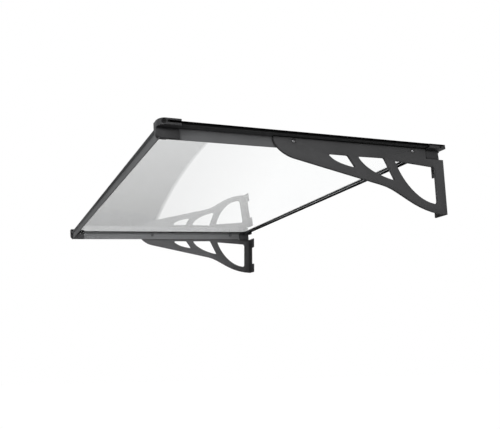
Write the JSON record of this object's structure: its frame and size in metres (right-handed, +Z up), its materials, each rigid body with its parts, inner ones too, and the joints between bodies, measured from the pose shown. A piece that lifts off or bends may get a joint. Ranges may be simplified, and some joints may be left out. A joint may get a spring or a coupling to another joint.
{
  "type": "aluminium door canopy",
  "caption": "Clear flat canopy sheet in a dark aluminium frame with plastic corner covers, carried on cut-out plate brackets over a door",
  "frame": {"origin": "middle of the wall seal's face, on the wall plane", "axes": "+X along the wall to the right as seen from the street, +Y into the wall, +Z up"},
  "size_m": [1.5, 0.9327, 0.2315],
  "materials": {
    "clear_sheet": "clear and glossy",
    "rail_powder_coat": "satin anthracite powder coat",
    "bracket_powder_coat": "matt anthracite powder coat",
    "connector_plastic": "fine matt black",
    "black_rubber": "matt black",
    "black_bolt": "glossy black",
    "zinc_plating": "zinc plated",
    "screw_black_oxide": "black oxide"
  },
  "bodies": {
    "root": {"roof_sheet": "clear_sheet", "right_side_rail": "rail_powder_coat", "left_side_rail": "rail_powder_coat", "front_rail": "rail_powder_coat", "rear_rail": "rail_powder_coat", "front_right_connector": "connector_plastic", "front_left_connector": "connector_plastic", "rear_right_connector": "connector_plastic", "rear_left_connector": "connector_plastic", "right_gasket": "black_rubber", "left_gasket": "black_rubber", "front_gasket": "black_rubber", "rear_gasket": "black_rubber", "wall_seal": "black_rubber", "right_bracket": "bracket_powder_coat", "left_bracket": "bracket_powder_coat", "front_right_bolt": "black_bolt", "front_left_bolt": "black_bolt", "rear_right_bolt": "black_bolt", "rear_left_bolt": "black_bolt", "front_right_washer": "zinc_plating", "front_left_washer": "zinc_plating", "rear_right_washer": "zinc_plating", "rear_left_washer": "zinc_plating", "front_right_nut": "zinc_plating", "front_left_nut": "zinc_plating", "rear_right_nut": "zinc_plating", "rear_left_nut": "zinc_plating", "front_right_screw": "screw_black_oxide", "front_left_screw": "screw_black_oxide", "rear_right_screw": "screw_black_oxide", "rear_left_screw": "screw_black_oxide"}
  },
  "joints": []
}
